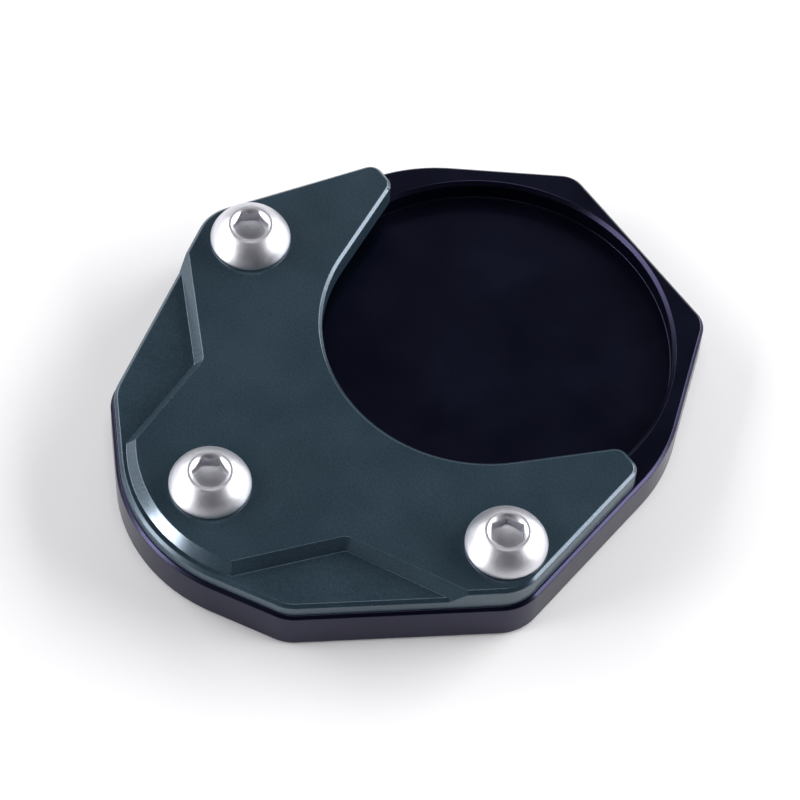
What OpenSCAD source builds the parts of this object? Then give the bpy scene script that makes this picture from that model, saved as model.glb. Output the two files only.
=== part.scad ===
// Side stand foot enlarger: a pocketed base plate and a screwed-down clamp plate.
// Lengths are in millimetres. The underside lies on z = 0 and the nose points along +Y.

/* [Plates] */
// Thickness of the base plate
base_thick = 6.5; // [5.5:0.1:9]
// Full thickness of the clamp plate
clamp_thick = 3.6; // [3:0.1:5]
// How far the base plate stands out past the clamp plate
base_lip = 0.5; // [0.45:0.05:0.8]
// Chamfer on the base plate's top and bottom edges
base_chamfer = 0.4; // [0.2:0.05:0.45]
// Chamfer on the clamp plate's upper edges
clamp_chamfer = 0.45; // [0.2:0.05:0.7]

/* [Outline] */
// Distance of the clamp outline's nose side from the middle
nose_dist = 39; // [39:0.25:46]
// Place along the plate of the corners where the shoulder sides begin
shoulder_place = 22.4; // [21:0.1:24]
// Direction that the shoulder sides face, from the cross axis
shoulder_turn = 39; // [36:0.5:44]
// Wall between the side screws' centres and the arm sides
side_margin = 5.95; // [5.75:0.05:7]
// Direction that the arm sides face, from the cross axis
side_turn = 14.5; // [12:0.5:17]
// Wall between the side screws' centres and the flank sides
flank_margin = 6.85; // [6.5:0.05:8]
// Direction that the flank sides face, to the rear of the cross axis
flank_turn = 31.5; // [29:0.5:34]
// Distance of the two tail sides from the middle
tail_dist = 36.7; // [36:0.1:38]
// Direction that the tail sides face, to the rear of the cross axis
tail_turn = 60.5; // [58:0.5:63]
// Rounding of the two nose corners
nose_round = 3; // [2:0.5:5]
// Rounding of the two shoulder corners
shoulder_round = 22; // [8:1:26]
// Rounding of the two side corners
side_round = 6; // [3:0.5:9]
// Rounding of the two flank corners
flank_round = 5; // [3:0.5:8]
// Radius of the rear end
rear_round = 21.2; // [18:0.2:24]

/* [Foot pocket] */
// Radius of the round pocket that takes the stand's foot
pocket_radius = 25; // [22:0.25:25.25]
// Depth of the pocket
pocket_depth = 3; // [2:0.1:4]
// Place of the pocket's centre along the plate
pocket_place = 13.4; // [10:0.1:13.5]
// Chamfer on the pocket's rim
pocket_chamfer = 0.5; // [0.2:0.05:0.5]

/* [Clamp mouth] */
// Radius of the mouth that passes the stand's leg
mouth_radius = 20.9; // [18:0.1:22]
// Angle that the mouth's sides flare at
mouth_flare = 25.5; // [20:0.5:28]
// Place of the arms' tips along the plate
tip_place = 16.9; // [14:0.1:19]
// Rounding of the arms' tips
tip_round = 1.8; // [1:0.1:2.2]

/* [Lowered wings] */
// Depth of the lowered wings below the clamp plate's top
wing_drop = 1.6; // [0.8:0.1:2]
// How far the slopes down to the wings and the ledge run out
slope_run = 1.15; // [0.8:0.05:1.6]
// Distance from the middle of a wing's front crest
wing_front_dist = 24.7; // [23.5:0.1:27]
// Direction that a wing's front slope faces, to the rear of the cross axis
wing_front_turn = 62.5; // [58:0.5:66]
// Distance from the middle of a wing's inner crest
wing_inner_dist = 21.6; // [20:0.1:23]
// Direction that a wing's inner slope faces, to the rear of the cross axis
wing_inner_turn = 20; // [16:0.5:24]
// Rounding at the foot of a wing's inner corner
wing_round = 0.9; // [0.5:0.1:3]
// Width of the ledge round the rear end
ledge_width = 1; // [0.6:0.1:2]

/* [Screws] */
// Thread diameter of the screws
screw_diam = 6; // [5:0.5:6]
// Length of the screws below their heads
screw_length = 8; // [6:0.5:9]
// Diameter of the button heads
head_diam = 10.5; // [9.5:0.1:12]
// Height of the button heads
head_height = 3.3; // [2.6:0.1:3.6]
// Height of the heads' upright rim
head_rim = 0.4; // [0.2:0.05:0.6]
// Diameter of the heads' flat top
head_flat = 5.7; // [5.4:0.1:6.4]
// Width across the flats of the hexagon socket
socket_width = 4; // [3:0.5:4]
// Diameter of the socket's chamfered mouth
socket_mouth = 5.1; // [4.8:0.1:5.2]
// Depth of the hexagon socket
socket_depth = 2.1; // [1.5:0.1:2.2]
// Turn that the rear screw's socket came to rest at
rear_socket_turn = 54; // [0:1:59]
// Turn that the left screw's socket came to rest at
left_socket_turn = 59; // [0:1:59]
// Turn that the right screw's socket came to rest at
right_socket_turn = 24; // [0:1:59]
// Play between a screw and the clamp plate's hole, on the radius
screw_play = 0.3; // [0.2:0.05:0.5]
// Play between a screw and its tapped hole, on the radius
thread_play = 0.1; // [0.05:0.01:0.15]
// Distance of the two side screws from the middle plane
side_screw_reach = 28.1; // [27:0.1:28.6]
// Place of the two side screws along the plate
side_screw_place = -3.85; // [-5:0.05:-1]
// Place of the rear screw along the plate
rear_screw_place = -29.45; // [-30:0.05:-26]

/* [Hidden] */
// How far a cutter runs past the face that it cuts
over = 0.5;
half_turn = 180;
quarter_turn = 90;
socket_corners = 6;
// Facets of the circles on the plates and on the screws
plate_fn = 96;
screw_fn = 64;
clamp_floor = base_thick;
clamp_top = base_thick + clamp_thick;
side_dist = side_screw_reach * cos(side_turn) + side_screw_place * sin(side_turn) + side_margin;
flank_dist = side_screw_reach * cos(flank_turn) - side_screw_place * sin(flank_turn) + flank_margin;
// Where the shoulder sides begin, from the middle plane
shoulder_reach = (side_dist - shoulder_place * sin(side_turn)) / cos(side_turn);
shoulder_dist = shoulder_reach * cos(shoulder_turn) + shoulder_place * sin(shoulder_turn);
// Centre height of the circle that makes a head's dome
dome_centre = (pow(head_flat / 2, 2) + pow(head_height, 2) - pow(head_diam / 2, 2) - pow(head_rim, 2))
    / (2 * (head_height - head_rim));
dome_radius = sqrt(pow(head_diam / 2, 2) + pow(head_rim - dome_centre, 2));
// Chamfers on a screw's lower end and on the tapped holes' mouths
screw_tip_chamfer = 0.6;
hole_chamfer = 0.4;
// Depth of the drill point at the foot of a socket
socket_point = 0.7;
// Angle round the rear end that the ledge's cutter spans
ledge_turn = 90;

// The outline's sides from the nose on, anticlockwise: the direction each faces and its distance
sides = [
    [quarter_turn, nose_dist],
    [half_turn - shoulder_turn, shoulder_dist],
    [half_turn - side_turn, side_dist],
    [half_turn + flank_turn, flank_dist],
    [half_turn + tail_turn, tail_dist],
    [2 * half_turn - tail_turn, tail_dist],
    [2 * half_turn - flank_turn, flank_dist],
    [2 * half_turn + side_turn, side_dist],
    [2 * half_turn + shoulder_turn, shoulder_dist]
];
// The rounding of the corner after each side
rounds = [
    nose_round, shoulder_round, side_round, flank_round, rear_round,
    flank_round, side_round, shoulder_round, nose_round
];
side_total = len(sides);
// The three sides at the end of the right arm, and the rounding between them
mouth_side = [half_turn - mouth_flare, pocket_place * sin(mouth_flare) - mouth_radius];
arm_end = [[side_turn, side_dist], [quarter_turn, tip_place], mouth_side];
// The right wing's front and inner sides at the slopes' feet
wing_sides = [
    [half_turn - wing_front_turn, -wing_front_dist - slope_run],
    [half_turn - wing_inner_turn, -wing_inner_dist - slope_run]
];
// How far the slopes run out by the time that they pass over above the plate's top
slope_past = slope_run * (1 + over / wing_drop);

function facing(angle) = [cos(angle), sin(angle)];
// Where two sides meet, with both moved out by grow
function meet(one, two, grow) =
    let (a = one[1] + grow, b = two[1] + grow, turn = sin(two[0] - one[0]))
    [(a * sin(two[0]) - b * sin(one[0])) / turn, (b * cos(one[0]) - a * cos(two[0])) / turn];

// What a rounded corner between two sides takes off the sharp one
module corner_waste(one, two, radius, grow) {
    arc_radius = radius + grow;
    middle = meet(one, two, -radius);
    sharp = meet(one, two, grow);
    reach = arc_radius + over;
    difference() {
        polygon([
            middle,
            middle + reach * facing(one[0]),
            sharp + over * (facing(one[0]) + facing(two[0])),
            middle + reach * facing(two[0])
        ]);
        translate(middle) circle(r = arc_radius, $fn = plate_fn);
    }
}

// The plates' outline, moved out by grow
module outline(grow) {
    difference() {
        polygon([for (i = [0 : side_total - 1]) meet(sides[i], sides[(i + 1) % side_total], grow)]);
        for (i = [0 : side_total - 1])
            corner_waste(sides[i], sides[(i + 1) % side_total], rounds[i], grow);
    }
}

// The section that a chamfer takes off, with the edge at the origin and the piece to its lower left
module chamfer_section(size) {
    polygon([[-size - over, over], [over, over], [over, -size - over]]);
}

// A chamfer cutter along a side that faces the given direction and runs from start to stop
module side_chamfer(start, stop, direction, size) {
    translate(stop)
        rotate([quarter_turn, 0, direction])
            linear_extrude(norm(stop - start)) chamfer_section(size);
}

// A chamfer cutter round one corner
module corner_chamfer(one, two, radius, size) {
    translate(meet(one, two, -radius))
        rotate([0, 0, one[0]])
            rotate_extrude(angle = two[0] - one[0], $fn = plate_fn)
                translate([radius, 0]) chamfer_section(size);
}

// A slab of the outline from z = 0 up, its upper edge chamfered by top and its lower one by bottom
module chamfered_slab(grow, height, top, bottom) {
    hull() {
        translate([0, 0, bottom]) linear_extrude(height - top - bottom) outline(grow);
        translate([0, 0, height - top]) linear_extrude(top) outline(grow - top);
        if (bottom > 0) linear_extrude(bottom) outline(grow - bottom);
    }
}

module at_side_screws() {
    for (way = [-1, 1])
        translate([way * side_screw_reach, side_screw_place]) children();
}

module at_screws() {
    at_side_screws() children();
    translate([0, rear_screw_place]) children();
}

// The round pocket with its chamfered rim, cut down from z = 0
module pocket() {
    rotate_extrude($fn = plate_fn)
        polygon([
            [0, over],
            [pocket_radius + pocket_chamfer + over, over],
            [pocket_radius, -pocket_chamfer],
            [pocket_radius, -pocket_depth],
            [0, -pocket_depth]
        ]);
}

// A tapped hole through the base plate, with both its mouths chamfered
module tapped_hole() {
    bore = screw_diam / 2 + thread_play;
    rotate_extrude($fn = screw_fn)
        polygon([
            [0, -over],
            [bore + hole_chamfer + over, -over],
            [bore, hole_chamfer],
            [bore, base_thick - hole_chamfer],
            [bore + hole_chamfer + over, base_thick + over],
            [0, base_thick + over]
        ]);
}

module base_plate() {
    color("#16141f")
        difference() {
            chamfered_slab(base_lip, base_thick, base_chamfer, base_chamfer);
            translate([0, pocket_place, base_thick]) pocket();
            at_screws() tapped_hole();
        }
}

// The clamp plate's mouth: a round end with flared sides that run out past the nose
module mouth() {
    far = nose_dist - pocket_place + over;
    meets = mouth_radius * facing(-mouth_flare);
    end_width = meets[0] + (far - meets[1]) * tan(mouth_flare);
    translate([0, pocket_place]) {
        circle(r = mouth_radius, $fn = plate_fn);
        polygon([meets, [end_width, far], [-end_width, far], [-meets[0], meets[1]]]);
    }
}

// What the mouth and the tips take off the clamp's outline
module mouth_waste() {
    mouth();
    translate([-side_dist - nose_dist, tip_place]) square([2 * (side_dist + nose_dist), nose_dist]);
    for (way = [0, 1])
        mirror([way, 0])
            for (i = [0, 1])
                corner_waste(arm_end[i], arm_end[i + 1], tip_round, 0);
}

// The chamfer cutter for the tips and the mouth, for an upper edge on z = 0
module mouth_chamfer(size) {
    tip = arm_end[1][0];
    flare = arm_end[2][0];
    outer_round = meet(arm_end[0], arm_end[1], -tip_round);
    inner_round = meet(arm_end[1], arm_end[2], -tip_round);
    round_end = [0, pocket_place] + mouth_radius * facing(-mouth_flare);
    to_tip = tip_round * facing(tip);
    for (way = [0, 1])
        mirror([way, 0, 0]) {
            side_chamfer(outer_round + to_tip, inner_round + to_tip, tip, size);
            side_chamfer(inner_round + tip_round * facing(flare), round_end, flare, size);
            for (i = [0, 1])
                corner_chamfer(arm_end[i], arm_end[i + 1], tip_round, size);
        }
    translate([0, pocket_place])
        rotate_extrude($fn = plate_fn)
            translate([mouth_radius, 0]) mirror([1, 0]) chamfer_section(size);
}

// The right wing's plan at the slopes' feet, moved out by grow, running past the plate's edge
module wing_outline(grow) {
    corner = meet(wing_sides[0], wing_sides[1], grow);
    front_end = 2 * side_dist * facing(wing_sides[0][0] - quarter_turn);
    inner_end = 2 * side_dist * facing(wing_sides[1][0] + quarter_turn);
    difference() {
        polygon([corner, corner + inner_end, corner + front_end + inner_end, corner + front_end]);
        if (grow > -wing_round) corner_waste(wing_sides[0], wing_sides[1], wing_round, grow);
    }
}

// What the right wing takes off the plate. Its floor is on z = 0, and its slopes run on below that
module wing_cut() {
    // Where the inner corner's rounding, which narrows downwards, comes to a point
    point_depth = wing_drop * wing_round / slope_run;
    hull() {
        translate([0, 0, -clamp_thick])
            linear_extrude(over) wing_outline(-slope_run * clamp_thick / wing_drop);
        translate([0, 0, -point_depth]) linear_extrude(point_depth) wing_outline(-wing_round);
        translate([0, 0, wing_drop + over]) linear_extrude(over) wing_outline(slope_past);
    }
}

// What the ledge round the rear end takes off, with its floor on z = 0
module ledge_cut() {
    foot = rear_round - ledge_width;
    translate(meet(sides[4], sides[5], -rear_round))
        rotate([0, 0, -quarter_turn - ledge_turn / 2])
            rotate_extrude(angle = ledge_turn, $fn = plate_fn)
                polygon([
                    [foot, -clamp_thick],
                    [foot, 0],
                    [foot - slope_past, wing_drop + over],
                    [2 * rear_round, wing_drop + over],
                    [2 * rear_round, -clamp_thick]
                ]);
}

module clamp_plate() {
    color("#3a464c")
        translate([0, 0, clamp_floor])
            difference() {
                union() {
                    chamfered_slab(0, clamp_thick - wing_drop, clamp_chamfer, 0);
                    difference() {
                        chamfered_slab(0, clamp_thick, clamp_chamfer, 0);
                        translate([0, 0, clamp_thick - wing_drop]) {
                            wing_cut();
                            mirror([1, 0, 0]) wing_cut();
                            ledge_cut();
                        }
                    }
                }
                translate([0, 0, -over]) linear_extrude(clamp_thick + 2 * over) mouth_waste();
                translate([0, 0, clamp_thick]) mouth_chamfer(clamp_chamfer);
                at_screws()
                    translate([0, 0, -over])
                        cylinder(r = screw_diam / 2 + screw_play, h = clamp_thick + 2 * over, $fn = screw_fn);
            }
}

// Half the section of a button head, from its seat on z = 0
module head_section() {
    intersection() {
        square([head_diam / 2, head_height]);
        translate([0, dome_centre]) circle(r = dome_radius, $fn = plate_fn);
    }
}

// A button-head screw with a hexagon socket turned as given, its head's seat on z = 0
module screw(turn) {
    shank = screw_diam / 2;
    socket_round = socket_width / 2 / cos(half_turn / socket_corners);
    difference() {
        rotate_extrude($fn = screw_fn) {
            head_section();
            polygon([
                [0, -screw_length],
                [shank - screw_tip_chamfer, -screw_length],
                [shank, -screw_length + screw_tip_chamfer],
                [shank, 0],
                [0, 0]
            ]);
        }
        translate([0, 0, head_height - socket_depth])
            rotate([0, 0, turn])
                cylinder(r = socket_round, h = socket_depth + over, $fn = socket_corners);
        translate([0, 0, head_height - socket_depth - socket_point])
            cylinder(r1 = 0, r2 = socket_width / 2, h = socket_point, $fn = screw_fn);
        translate([0, 0, head_height - socket_mouth / 2])
            cylinder(r1 = 0, r2 = socket_mouth / 2 + over, h = socket_mouth / 2 + over, $fn = screw_fn);
    }
}

module screw_rear() {
    color("#c9ccd0") translate([0, rear_screw_place, clamp_top]) screw(rear_socket_turn);
}

module screw_left() {
    color("#c9ccd0") translate([-side_screw_reach, side_screw_place, clamp_top]) screw(left_socket_turn);
}

module screw_right() {
    color("#c9ccd0") translate([side_screw_reach, side_screw_place, clamp_top]) screw(right_socket_turn);
}

base_plate();
clamp_plate();
screw_rear();
screw_left();
screw_right();
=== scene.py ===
import bpy
import bmesh
from math import cos, sin, radians, pi, sqrt, tau
from mathutils import Matrix, Vector


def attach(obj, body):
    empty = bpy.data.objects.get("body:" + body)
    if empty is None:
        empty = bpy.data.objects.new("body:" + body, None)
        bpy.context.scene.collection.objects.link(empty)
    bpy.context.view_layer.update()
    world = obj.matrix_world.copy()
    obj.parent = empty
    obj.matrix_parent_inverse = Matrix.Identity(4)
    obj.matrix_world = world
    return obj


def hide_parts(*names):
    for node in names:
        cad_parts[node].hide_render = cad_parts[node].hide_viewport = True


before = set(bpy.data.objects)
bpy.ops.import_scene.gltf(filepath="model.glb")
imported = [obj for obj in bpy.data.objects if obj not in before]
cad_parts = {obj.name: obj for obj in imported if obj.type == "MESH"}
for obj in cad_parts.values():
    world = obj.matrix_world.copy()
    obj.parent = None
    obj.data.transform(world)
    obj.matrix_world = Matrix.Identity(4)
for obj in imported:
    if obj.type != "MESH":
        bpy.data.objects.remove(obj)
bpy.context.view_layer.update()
mm = 0.001
print("frame loaded")


def linearColour(hexCode):
    # sRGB hex to the linear values that the shaders take
    parts = [int(hexCode[i:i + 2], 16) / 255 for i in (1, 3, 5)]
    return tuple(p / 12.92 if p <= 0.04045 else ((p + 0.055) / 1.055) ** 2.4 for p in parts) + (1.0,)


def addNode(tree, kind, settings=None, **links):
    # one node with its settings; a link names an input (spaces as _, or i and its number)
    node = tree.nodes.new(kind)
    for name, value in (settings or {}).items():
        setattr(node, name, value)
    for name, value in links.items():
        key = int(name[1:]) if name[0] == "i" and name[1:].isdigit() else name.replace("_", " ")
        if isinstance(value, bpy.types.NodeSocket):
            tree.links.new(value, node.inputs[key])
        else:
            node.inputs[key].default_value = value
    return node


def newMaterial(name):
    material = bpy.data.materials.new(name)
    material.use_nodes = True
    material.node_tree.nodes.clear()
    return material, material.node_tree


def newPiece(name, mesh, material=None):
    piece = bpy.data.objects.new(name, mesh)
    bpy.context.scene.collection.objects.link(piece)
    if material:
        mesh.materials.clear()
        mesh.materials.append(material)
    return piece


view = {
    "turn": 50.96,       # degrees round the part from its tail
    "height": 57.97,     # degrees above the floor
    "roll": -4.0,        # degrees
    "distance": 0.4878,  # m from the aim
    "lens": 168.4,       # mm, on a sensor 36 mm wide
    "sensor": 36,
    "nearest": 0.01,     # m
    "aim": Vector((0, -0.00385, 0)),
    "shift": (0.0345, 0.0365),
}


def makeCamera():
    turn, height, roll = (radians(view[k]) for k in ("turn", "height", "roll"))
    right = Vector((cos(turn), sin(turn), 0))
    up = Vector((-sin(height) * sin(turn), sin(height) * cos(turn), cos(height)))
    back = right.cross(up)
    across = cos(roll) * right - sin(roll) * up
    upright = sin(roll) * right + cos(roll) * up
    data = bpy.data.cameras.new("camera")
    data.lens = view["lens"]
    data.sensor_width = view["sensor"]
    data.sensor_fit = "HORIZONTAL"
    data.shift_x, data.shift_y = view["shift"]
    data.clip_start = view["nearest"]
    camera = bpy.data.objects.new("camera", data)
    camera.matrix_world = Matrix.Translation(view["aim"] + view["distance"] * back) @ Matrix(
        (across, upright, back)).transposed().to_4x4()
    bpy.context.scene.collection.objects.link(camera)
    bpy.context.scene.camera = camera


makeCamera()
print("camera placed")

baseFinish = {
    "colour": "#040812",
    "sheen": "#444160",
    "metalShare": 0.35,
    "ior": 1.2,           # under the oxide's own, so that the black stays deep
    "roughness": 0.25,
    "roughSpread": 0.03,
    "bump": 0.6,
    "grain": 0.12,        # mm between the blasting's grit marks
    "grainDepth": 0.003,  # mm
    "grainShare": (0.8, 1.25),
    "cloud": 9,           # mm between the dye's faint clouds
    "cloudShare": (0.93, 1.07),
}
clampFinish = {
    "colour": "#283943",
    "sheen": "#66788a",
    "metalShare": 0.2,
    "ior": 1.5,
    "roughness": 0.25,
    "roughSpread": 0.03,
    "bump": 0.6,
    "grain": 0.28,        # drawn coarser than the real grit, so that it still shows from afar
    "grainDepth": 0.004,  # mm
    "grainShare": (0.78, 1.22),
    "cloud": 9,           # mm between the dye's faint clouds
    "cloudShare": (0.93, 1.07),
}
steelFinish = {
    "colour": "#d6d6db",
    "roughness": 0.42,
    "roughSpread": (-0.04, 0.05),
    "scratch": 0.3,       # mm between the tumbling's scratches
    "scratchDepth": 0.003,  # mm
    "bump": 0.25,
}
# the middle of a noise's range, which is stretched to the range that a shade or roughness takes
noiseRange = {"From_Min": 0.3, "From_Max": 0.7}


def anodisedAluminium(name, finish, marks=None):
    # Aluminium blasted with fine grit, anodised and dyed: the grit marks spread the highlights, the
    # dye keeps the faces dark and the metal under it tints what shines at a flat angle
    material, tree = newMaterial(name)
    place = addNode(tree, "ShaderNodeTexCoord").outputs["Object"]
    grain = addNode(tree, "ShaderNodeTexNoise", Vector=place, Scale=1 / (finish["grain"] * mm),
                    Detail=3.0, Roughness=0.6).outputs["Fac"]
    cloud = addNode(tree, "ShaderNodeTexNoise", Vector=place, Scale=1 / (finish["cloud"] * mm),
                    Detail=2.0).outputs["Fac"]
    gritShade = addNode(tree, "ShaderNodeMapRange", Value=grain, To_Min=finish["grainShare"][0],
                        To_Max=finish["grainShare"][1], **noiseRange).outputs["Result"]
    cloudShade = addNode(tree, "ShaderNodeMapRange", Value=cloud, To_Min=finish["cloudShare"][0],
                         To_Max=finish["cloudShare"][1], **noiseRange).outputs["Result"]
    shade = addNode(tree, "ShaderNodeMath", {"operation": "MULTIPLY"}, i0=gritShade, i1=cloudShade).outputs[0]
    layers = []
    for colour in (finish["colour"], finish["sheen"]):
        layers.append(addNode(tree, "ShaderNodeMix", {"data_type": "RGBA", "blend_type": "MULTIPLY"}, i0=1.0,
                              i6=linearColour(colour), i7=shade).outputs[2])
    rough = addNode(tree, "ShaderNodeMapRange", Value=cloud,
                    To_Min=finish["roughness"] - finish["roughSpread"],
                    To_Max=finish["roughness"] + finish["roughSpread"], **noiseRange).outputs["Result"]
    height = marks(tree, place, grain) if marks else grain
    bump = addNode(tree, "ShaderNodeBump", Strength=finish["bump"], Distance=finish["grainDepth"] * mm,
                   Height=height).outputs["Normal"]
    dye = addNode(tree, "ShaderNodeBsdfPrincipled", Base_Color=layers[0], Roughness=rough,
                  IOR=finish["ior"], Normal=bump)
    metal = addNode(tree, "ShaderNodeBsdfPrincipled", Base_Color=layers[1], Metallic=1.0, Roughness=rough,
                    Normal=bump)
    skin = addNode(tree, "ShaderNodeMixShader", i0=finish["metalShare"], i1=dye.outputs[0],
                   i2=metal.outputs[0])
    addNode(tree, "ShaderNodeOutputMaterial", Surface=skin.outputs[0])
    return material


pocketRings = {
    "place": 13.4,     # mm along the plate
    "reach": 24.9,     # mm, just short of the pocket's wall
    "step": 0.5,       # mm between rings, drawn coarser than a finishing cut's
    "share": 0.12,     # of the grit marks' height
}


def pocketMarks(tree, place, grain):
    # the cutter's rings round the pocket's centre, shallower than the grit marks
    centred = addNode(tree, "ShaderNodeVectorMath", {"operation": "SUBTRACT"}, i0=place,
                      i1=(0, pocketRings["place"] * mm, 0)).outputs[0]
    flat = addNode(tree, "ShaderNodeVectorMath", {"operation": "MULTIPLY"}, i0=centred,
                   i1=(1, 1, 0)).outputs[0]
    reach = addNode(tree, "ShaderNodeVectorMath", {"operation": "LENGTH"}, i0=flat).outputs["Value"]
    phase = addNode(tree, "ShaderNodeMath", {"operation": "MULTIPLY"}, i0=reach,
                    i1=tau / (pocketRings["step"] * mm)).outputs[0]
    wave = addNode(tree, "ShaderNodeMath", {"operation": "SINE"}, i0=phase).outputs[0]
    inside = addNode(tree, "ShaderNodeMath", {"operation": "LESS_THAN"}, i0=reach,
                     i1=pocketRings["reach"] * mm).outputs[0]
    ringed = addNode(tree, "ShaderNodeMath", {"operation": "MULTIPLY"}, i0=wave, i1=inside).outputs[0]
    return addNode(tree, "ShaderNodeMath", {"operation": "MULTIPLY_ADD"}, i0=ringed, i1=pocketRings["share"],
                   i2=grain).outputs[0]


def tumbledSteel(name, finish):
    # Stainless steel, cold headed and tumbled: bright with softened reflections and faint fine scratches
    material, tree = newMaterial(name)
    place = addNode(tree, "ShaderNodeTexCoord").outputs["Object"]
    scratch = addNode(tree, "ShaderNodeTexNoise", Vector=place, Scale=1 / (finish["scratch"] * mm),
                      Detail=4.0, Roughness=0.65).outputs["Fac"]
    rough = addNode(tree, "ShaderNodeMapRange", Value=scratch,
                    To_Min=finish["roughness"] + finish["roughSpread"][0],
                    To_Max=finish["roughness"] + finish["roughSpread"][1], **noiseRange).outputs["Result"]
    bump = addNode(tree, "ShaderNodeBump", Strength=finish["bump"],
                   Distance=finish["scratchDepth"] * mm, Height=scratch)
    shader = addNode(tree, "ShaderNodeBsdfPrincipled", Base_Color=linearColour(finish["colour"]),
                     Metallic=1.0, Roughness=rough, Normal=bump.outputs["Normal"])
    addNode(tree, "ShaderNodeOutputMaterial", Surface=shader.outputs["BSDF"])
    return material


blackAnodised = anodisedAluminium("blackAnodisedAluminium", baseFinish, pocketMarks)
blueGreyAnodised = anodisedAluminium("blueGreyBlastedAluminium", clampFinish)
brightSteel = tumbledSteel("tumbledStainlessSteel", steelFinish)
print("materials made")

# edge: mm that a deburred edge is broken by
plates = {
    "basePlate": {"node": "base_plate", "material": blackAnodised, "edge": 0.06},
    "clampPlate": {"node": "clamp_plate", "material": blueGreyAnodised, "edge": 0.07},
}
sameSpot = 2e-6        # m within which two corners are one
flatWithin = 0.6       # degrees up to which two faces are one plane
sharpFrom = 16         # degrees from which an edge is sharp and gets broken


def plateFromNode(name, plate):
    # the CAD plate with its flat faces joined up and every sharp edge broken by a small radius
    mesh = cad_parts[plate["node"]].data.copy()
    work = bmesh.new()
    work.from_mesh(mesh)
    bmesh.ops.remove_doubles(work, verts=work.verts, dist=sameSpot)
    bmesh.ops.dissolve_limit(work, angle_limit=radians(flatWithin), verts=work.verts, edges=work.edges)
    work.to_mesh(mesh)
    work.free()
    mesh.shade_smooth()
    mesh.set_sharp_from_angle(angle=radians(sharpFrom))
    piece = newPiece(name, mesh, plate["material"])
    bevel = piece.modifiers.new("brokenEdges", "BEVEL")
    bevel.width = plate["edge"] * mm
    bevel.segments = 2
    bevel.limit_method = "ANGLE"
    bevel.angle_limit = radians(sharpFrom)
    bpy.context.view_layer.update()
    broken = bpy.data.meshes.new_from_object(piece.evaluated_get(bpy.context.evaluated_depsgraph_get()))
    piece.modifiers.clear()
    # the clamp plate comes with a thin stray triangle at each arm's tip, dropped once the edges are broken
    work = bmesh.new()
    work.from_mesh(broken)
    strays = [face for face in work.faces if any(len(edge.link_faces) == 1 for edge in face.edges)]
    bmesh.ops.delete(work, geom=strays, context="FACES")
    work.to_mesh(broken)
    work.free()
    piece.data = broken
    evened = piece.modifiers.new("evenNormals", "WEIGHTED_NORMAL")
    evened.keep_sharp = True
    return piece


for name, plate in plates.items():
    piece = plateFromNode(name, plate)
    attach(piece, "root")
    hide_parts(plate["node"])
print("plates made")

# lengths in mm
screw = {
    "spokes": 96,          # points round every ring
    "threadDiam": 6.0,
    "pitch": 1.0,
    "threadDepth": 0.5,
    "length": 8.0,
    "tip": 0.6,            # chamfer at the screw's end
    "runOut": 0.4,         # length that the thread keeps off the head
    "neck": 0.3,
    "ringsPerPitch": 12,
    "fadeRings": 6,        # rings over which the thread runs out
    "headDiam": 10.5,
    "headHeight": 3.3,
    "headRim": 0.4,
    "rimRound": ((0.3, 0), (0.06, 0.14), (0, 0.3)),   # in from the rim, above the seat
    "domeRings": 20,
    "domeDrop": 0.04,      # the dome ends this far below the flat top
    "flatDiam": 5.7,
    "flatRound": ((0.02, 0.008), (0.1, 0)),           # in from the flat's edge, below the top
    "socketWidth": 4.0,
    "socketMouth": 5.1,
    "mouthRound": ((0.05, 0), (0, 0.015)),            # out from the mouth, below the top
    "socketEdge": 0.03,    # broken edge between the mouth's cone and the six flats
    "socketDepth": 2.1,
    "socketPoint": 0.7,
    "seat": 10.1,          # height of the clamp plate's top
}
# left, right and rear screw: place and the turn of its socket in degrees
screwSpots = {"Left": (-28.1, -3.85, 59), "Right": (28.1, -3.85, 24), "Rear": (0, -29.45, 54)}
# the thread's back stands in the plate by sink and its roots stand proud of the bore by proud
tappedHole = {
    "bore": 6.2,
    "crestDiam": 5.2,
    "low": 0.45,
    "high": 6.05,
    "sink": 0.03,
    "proud": 0.02,
    "fadeRings": 5,
}


def spokeMesh(name, rows, closed=False):
    # a mesh from rows of one point a spoke, given as (radius, height) in mm; one point alone is a pole
    spokes, sharp = screw["spokes"], 30
    work = bmesh.new()
    rings = []
    for row in rows:
        if len(row) == 1:
            rings.append([work.verts.new((0, 0, row[0][1] * mm))])
        else:
            rings.append([work.verts.new((r * mm * cos(tau * i / spokes), r * mm * sin(tau * i / spokes),
                                          z * mm)) for i, (r, z) in enumerate(row)])
    pairs = list(zip(rings, rings[1:])) + ([(rings[-1], rings[0])] if closed else [])
    for low, up in pairs:
        for i in range(spokes):
            j = (i + 1) % spokes
            if len(low) == 1:
                work.faces.new((low[0], up[j], up[i]))
            elif len(up) == 1:
                work.faces.new((low[i], low[j], up[0]))
            else:
                work.faces.new((low[i], low[j], up[j], up[i]))
    bmesh.ops.recalc_face_normals(work, faces=work.faces)
    mesh = bpy.data.meshes.new(name)
    work.to_mesh(mesh)
    work.free()
    mesh.shade_smooth()
    mesh.set_sharp_from_angle(angle=radians(sharp))
    return mesh


def evenRow(radius, z):
    return [(radius, z)] * screw["spokes"]


def threadRow(crest, depth, z, start=0):
    # one row of a rounded thread: the crest's place goes round once a pitch, counted from start
    spokes, turns = screw["spokes"], (z - start) / screw["pitch"]
    return [(crest - depth * (0.5 - 0.5 * cos(tau * (turns - i / spokes))), z) for i in range(spokes)]


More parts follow.
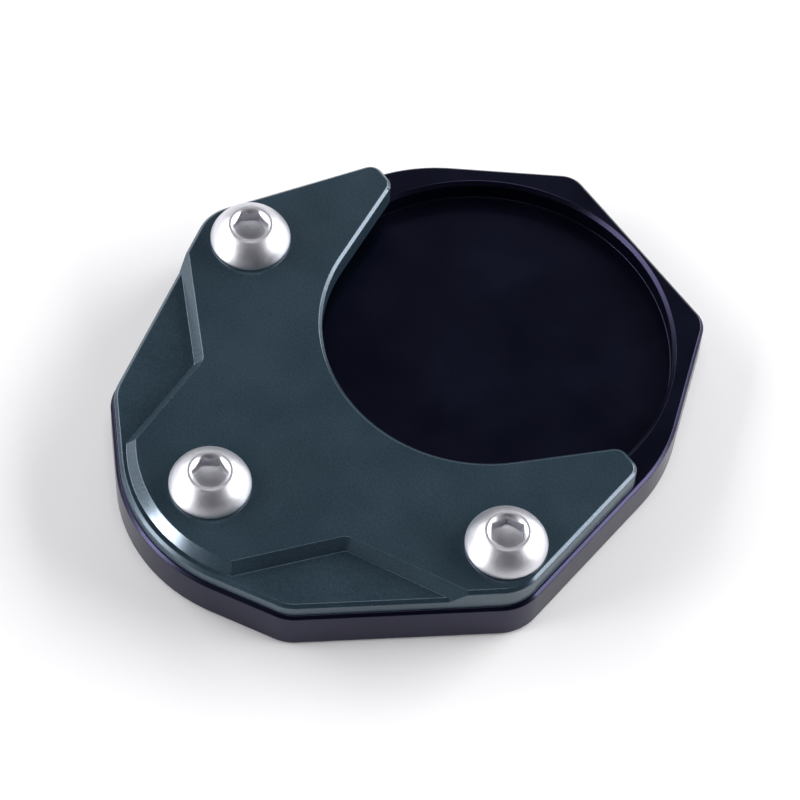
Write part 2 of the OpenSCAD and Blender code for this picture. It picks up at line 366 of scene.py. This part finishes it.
def screwRows():
    # from the screw's end up over the head and down into the socket; the head's seat is at 0
    thread, length, tip = screw["threadDiam"] / 2, screw["length"], screw["tip"]
    rim, flat, high = screw["headDiam"] / 2, screw["flatDiam"] / 2, screw["headHeight"]
    low, mouth, half = screw["headRim"], screw["socketMouth"] / 2, screw["socketWidth"] / 2
    rows = [[(0, -length)]]
    steps = round((length - screw["runOut"]) / screw["pitch"] * screw["ringsPerPitch"])
    for k in range(steps + 1):
        z = -length + k * screw["pitch"] / screw["ringsPerPitch"]
        fade = min(1, (steps - k) / screw["fadeRings"])
        cone = thread - tip + z + length    # the chamfer that cuts the thread at the screw's end
        rows.append([(min(r, cone), z) for r, z in threadRow(thread, screw["threadDepth"] * fade, z)])
    rows += [evenRow(thread, -screw["neck"]), evenRow(thread, 0)]
    rows += [evenRow(rim - inward, z) for inward, z in screw["rimRound"]]
    # the dome is part of a ball whose middle lies on the screw's axis
    middle = (flat ** 2 + high ** 2 - rim ** 2 - low ** 2) / (2 * (high - low))
    radius = sqrt(rim ** 2 + (low - middle) ** 2)
    for k in range(screw["domeRings"] + 1):
        z = low + (high - screw["domeDrop"] - low) * (k / screw["domeRings"]) ** 0.9
        rows.append(evenRow(sqrt(radius ** 2 - (z - middle) ** 2), z))
    rows += [evenRow(flat - inward, high - drop) for inward, drop in screw["flatRound"]]
    rows += [evenRow(mouth + outward, high - drop) for outward, drop in screw["mouthRound"]]
    edge, bottom = screw["socketEdge"], high - screw["socketDepth"]
    hexagon = [half / cos((tau * i / screw["spokes"]) % (pi / 3) - pi / 6) for i in range(screw["spokes"])]
    rows.append([(r + edge, high - (mouth - r) + edge) for r in hexagon])
    rows.append([(r, high - (mouth - r) - edge) for r in hexagon])
    rows.append([(r, bottom) for r in hexagon])
    rows += [evenRow(half - edge, bottom), [(0, bottom - screw["socketPoint"])]]
    return rows


def tappedRows():
    # a sleeve of thread for a tapped hole, in step with the screw's thread and clear of it
    bore, crest = tappedHole["bore"] / 2, tappedHole["crestDiam"] / 2
    low, high = tappedHole["low"], tappedHole["high"]
    steps = round((high - low) / screw["pitch"] * screw["ringsPerPitch"])
    rows = [evenRow(bore + tappedHole["sink"], low)]
    for k in range(steps + 1):
        z = low + k * (high - low) / steps
        fade = min(1, k / tappedHole["fadeRings"])
        rows.append(threadRow(bore - tappedHole["proud"], (bore - crest) * fade, z, screw["seat"]))
    rows.append(evenRow(bore + tappedHole["sink"], high))
    return rows


def placingTree():
    # sets what it is given down at the three screws and gives it its material
    tree = bpy.data.node_groups.new("screwPlacing", "GeometryNodeTree")
    sockets = [("Piece", "NodeSocketGeometry"), ("Seat", "NodeSocketFloat"),
               ("Material", "NodeSocketMaterial")]
    for spot in screwSpots:
        sockets += [(spot + " place", "NodeSocketVector"), (spot + " turn", "NodeSocketFloat")]
    for name, kind in sockets:
        tree.interface.new_socket(name, in_out="INPUT", socket_type=kind)
    tree.interface.new_socket("Placed", in_out="OUTPUT", socket_type="NodeSocketGeometry")
    given = addNode(tree, "NodeGroupInput").outputs
    lift = addNode(tree, "ShaderNodeCombineXYZ", Z=given["Seat"]).outputs[0]
    joined = addNode(tree, "GeometryNodeJoinGeometry")
    for spot in screwSpots:
        place = addNode(tree, "ShaderNodeVectorMath", {"operation": "ADD"}, i0=given[spot + " place"],
                        i1=lift)
        turned = addNode(tree, "ShaderNodeCombineXYZ", Z=given[spot + " turn"])
        moved = addNode(tree, "GeometryNodeTransform", Geometry=given["Piece"],
                        Translation=place.outputs[0], Rotation=turned.outputs[0])
        tree.links.new(moved.outputs[0], joined.inputs[0])
    real = addNode(tree, "GeometryNodeRealizeInstances", Geometry=joined.outputs[0])
    dressed = addNode(tree, "GeometryNodeSetMaterial", Geometry=real.outputs[0], Material=given["Material"])
    addNode(tree, "NodeGroupOutput", Placed=dressed.outputs[0])
    return tree


placing = placingTree()


def placedAtScrews(name, mesh, seat, material):
    # a plain mesh of the piece at all three screws, made by the placing tree
    source = newPiece(name + "Source", mesh)
    modifier = source.modifiers.new("placing", "NODES")
    modifier.node_group = placing
    values = {"Seat": seat * mm, "Material": material}
    for spot, (x, y, turn) in screwSpots.items():
        values[spot + " place"] = (x * mm, y * mm, 0)
        values[spot + " turn"] = radians(turn)
    for item in placing.interface.items_tree:
        if item.in_out == "INPUT" and item.name in values:
            modifier[item.identifier] = values[item.name]
    bpy.context.view_layer.update()
    ready = source.evaluated_get(bpy.context.evaluated_depsgraph_get())
    mesh = bpy.data.meshes.new_from_object(ready)
    bpy.data.objects.remove(source)
    mesh.name = name
    return newPiece(name, mesh)


screws = placedAtScrews("screws", spokeMesh("screw", screwRows()), screw["seat"], brightSteel)
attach(screws, "root")
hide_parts("screw_rear", "screw_left", "screw_right")
threads = placedAtScrews("tappedThreads", spokeMesh("thread", tappedRows(), True), 0, blackAnodised)
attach(threads, "root")
print("screws and threads made")

studio = {
    "floor": "#f7f7f7",
    "floorHalf": 1.5,    # m
    "world": "#86829a",
    "worldStrength": 0.14,
    # degrees round from the camera (right is plus) and above the floor, then distance, width and height
    # of the box in m, then radiance
    "boxes": {
        "leftBox": (-97, 28, 0.6, 0.85, 0.3, 4.7),
        "lowStrip": (-69, 6, 0.6, 0.2, 0.1, 42.0),
        "rightBox": (107, 24, 0.6, 0.75, 0.32, 8.4),
        "farBox": (180, 27, 0.7, 0.7, 0.48, 0.9),
        "topBox": (0, 88, 0.6, 0.22, 0.22, 3.0),
    },
}


def makeFloor():
    material, tree = newMaterial("palePaperFloor")
    paper = addNode(tree, "ShaderNodeBsdfDiffuse", Color=linearColour(studio["floor"]))
    addNode(tree, "ShaderNodeOutputMaterial", Surface=paper.outputs[0])
    half = studio["floorHalf"]
    mesh = bpy.data.meshes.new("floor")
    corners = [(-half, -half, 0), (half, -half, 0), (half, half, 0), (-half, half, 0)]
    mesh.from_pydata(corners, [], [(0, 1, 2, 3)])
    newPiece("floor", mesh, material)


def makeLights():
    turn = radians(view["turn"])
    toCamera = Vector((sin(turn), -cos(turn), 0))
    toRight = Vector((cos(turn), sin(turn), 0))
    for name, (angle, height, distance, width, tall, radiance) in studio["boxes"].items():
        data = bpy.data.lights.new(name, "AREA")
        data.shape = "RECTANGLE"
        data.size, data.size_y = width, tall
        data.energy = radiance * pi * width * tall
        lamp = bpy.data.objects.new(name, data)
        flat = cos(radians(angle)) * toCamera + sin(radians(angle)) * toRight
        away = flat * cos(radians(height)) + Vector((0, 0, sin(radians(height))))
        lamp.location = away * distance
        lamp.rotation_euler = away.to_track_quat("Z", "Y").to_euler()
        bpy.context.scene.collection.objects.link(lamp)
    world = bpy.data.worlds.new("studio")
    world.use_nodes = True
    world.node_tree.nodes.clear()
    air = addNode(world.node_tree, "ShaderNodeBackground", Color=linearColour(studio["world"]),
                  Strength=studio["worldStrength"])
    addNode(world.node_tree, "ShaderNodeOutputWorld", Surface=air.outputs[0])
    bpy.context.scene.world = world


makeFloor()
makeLights()
bpy.context.scene.view_settings.view_transform = "Standard"
print("studio lit")
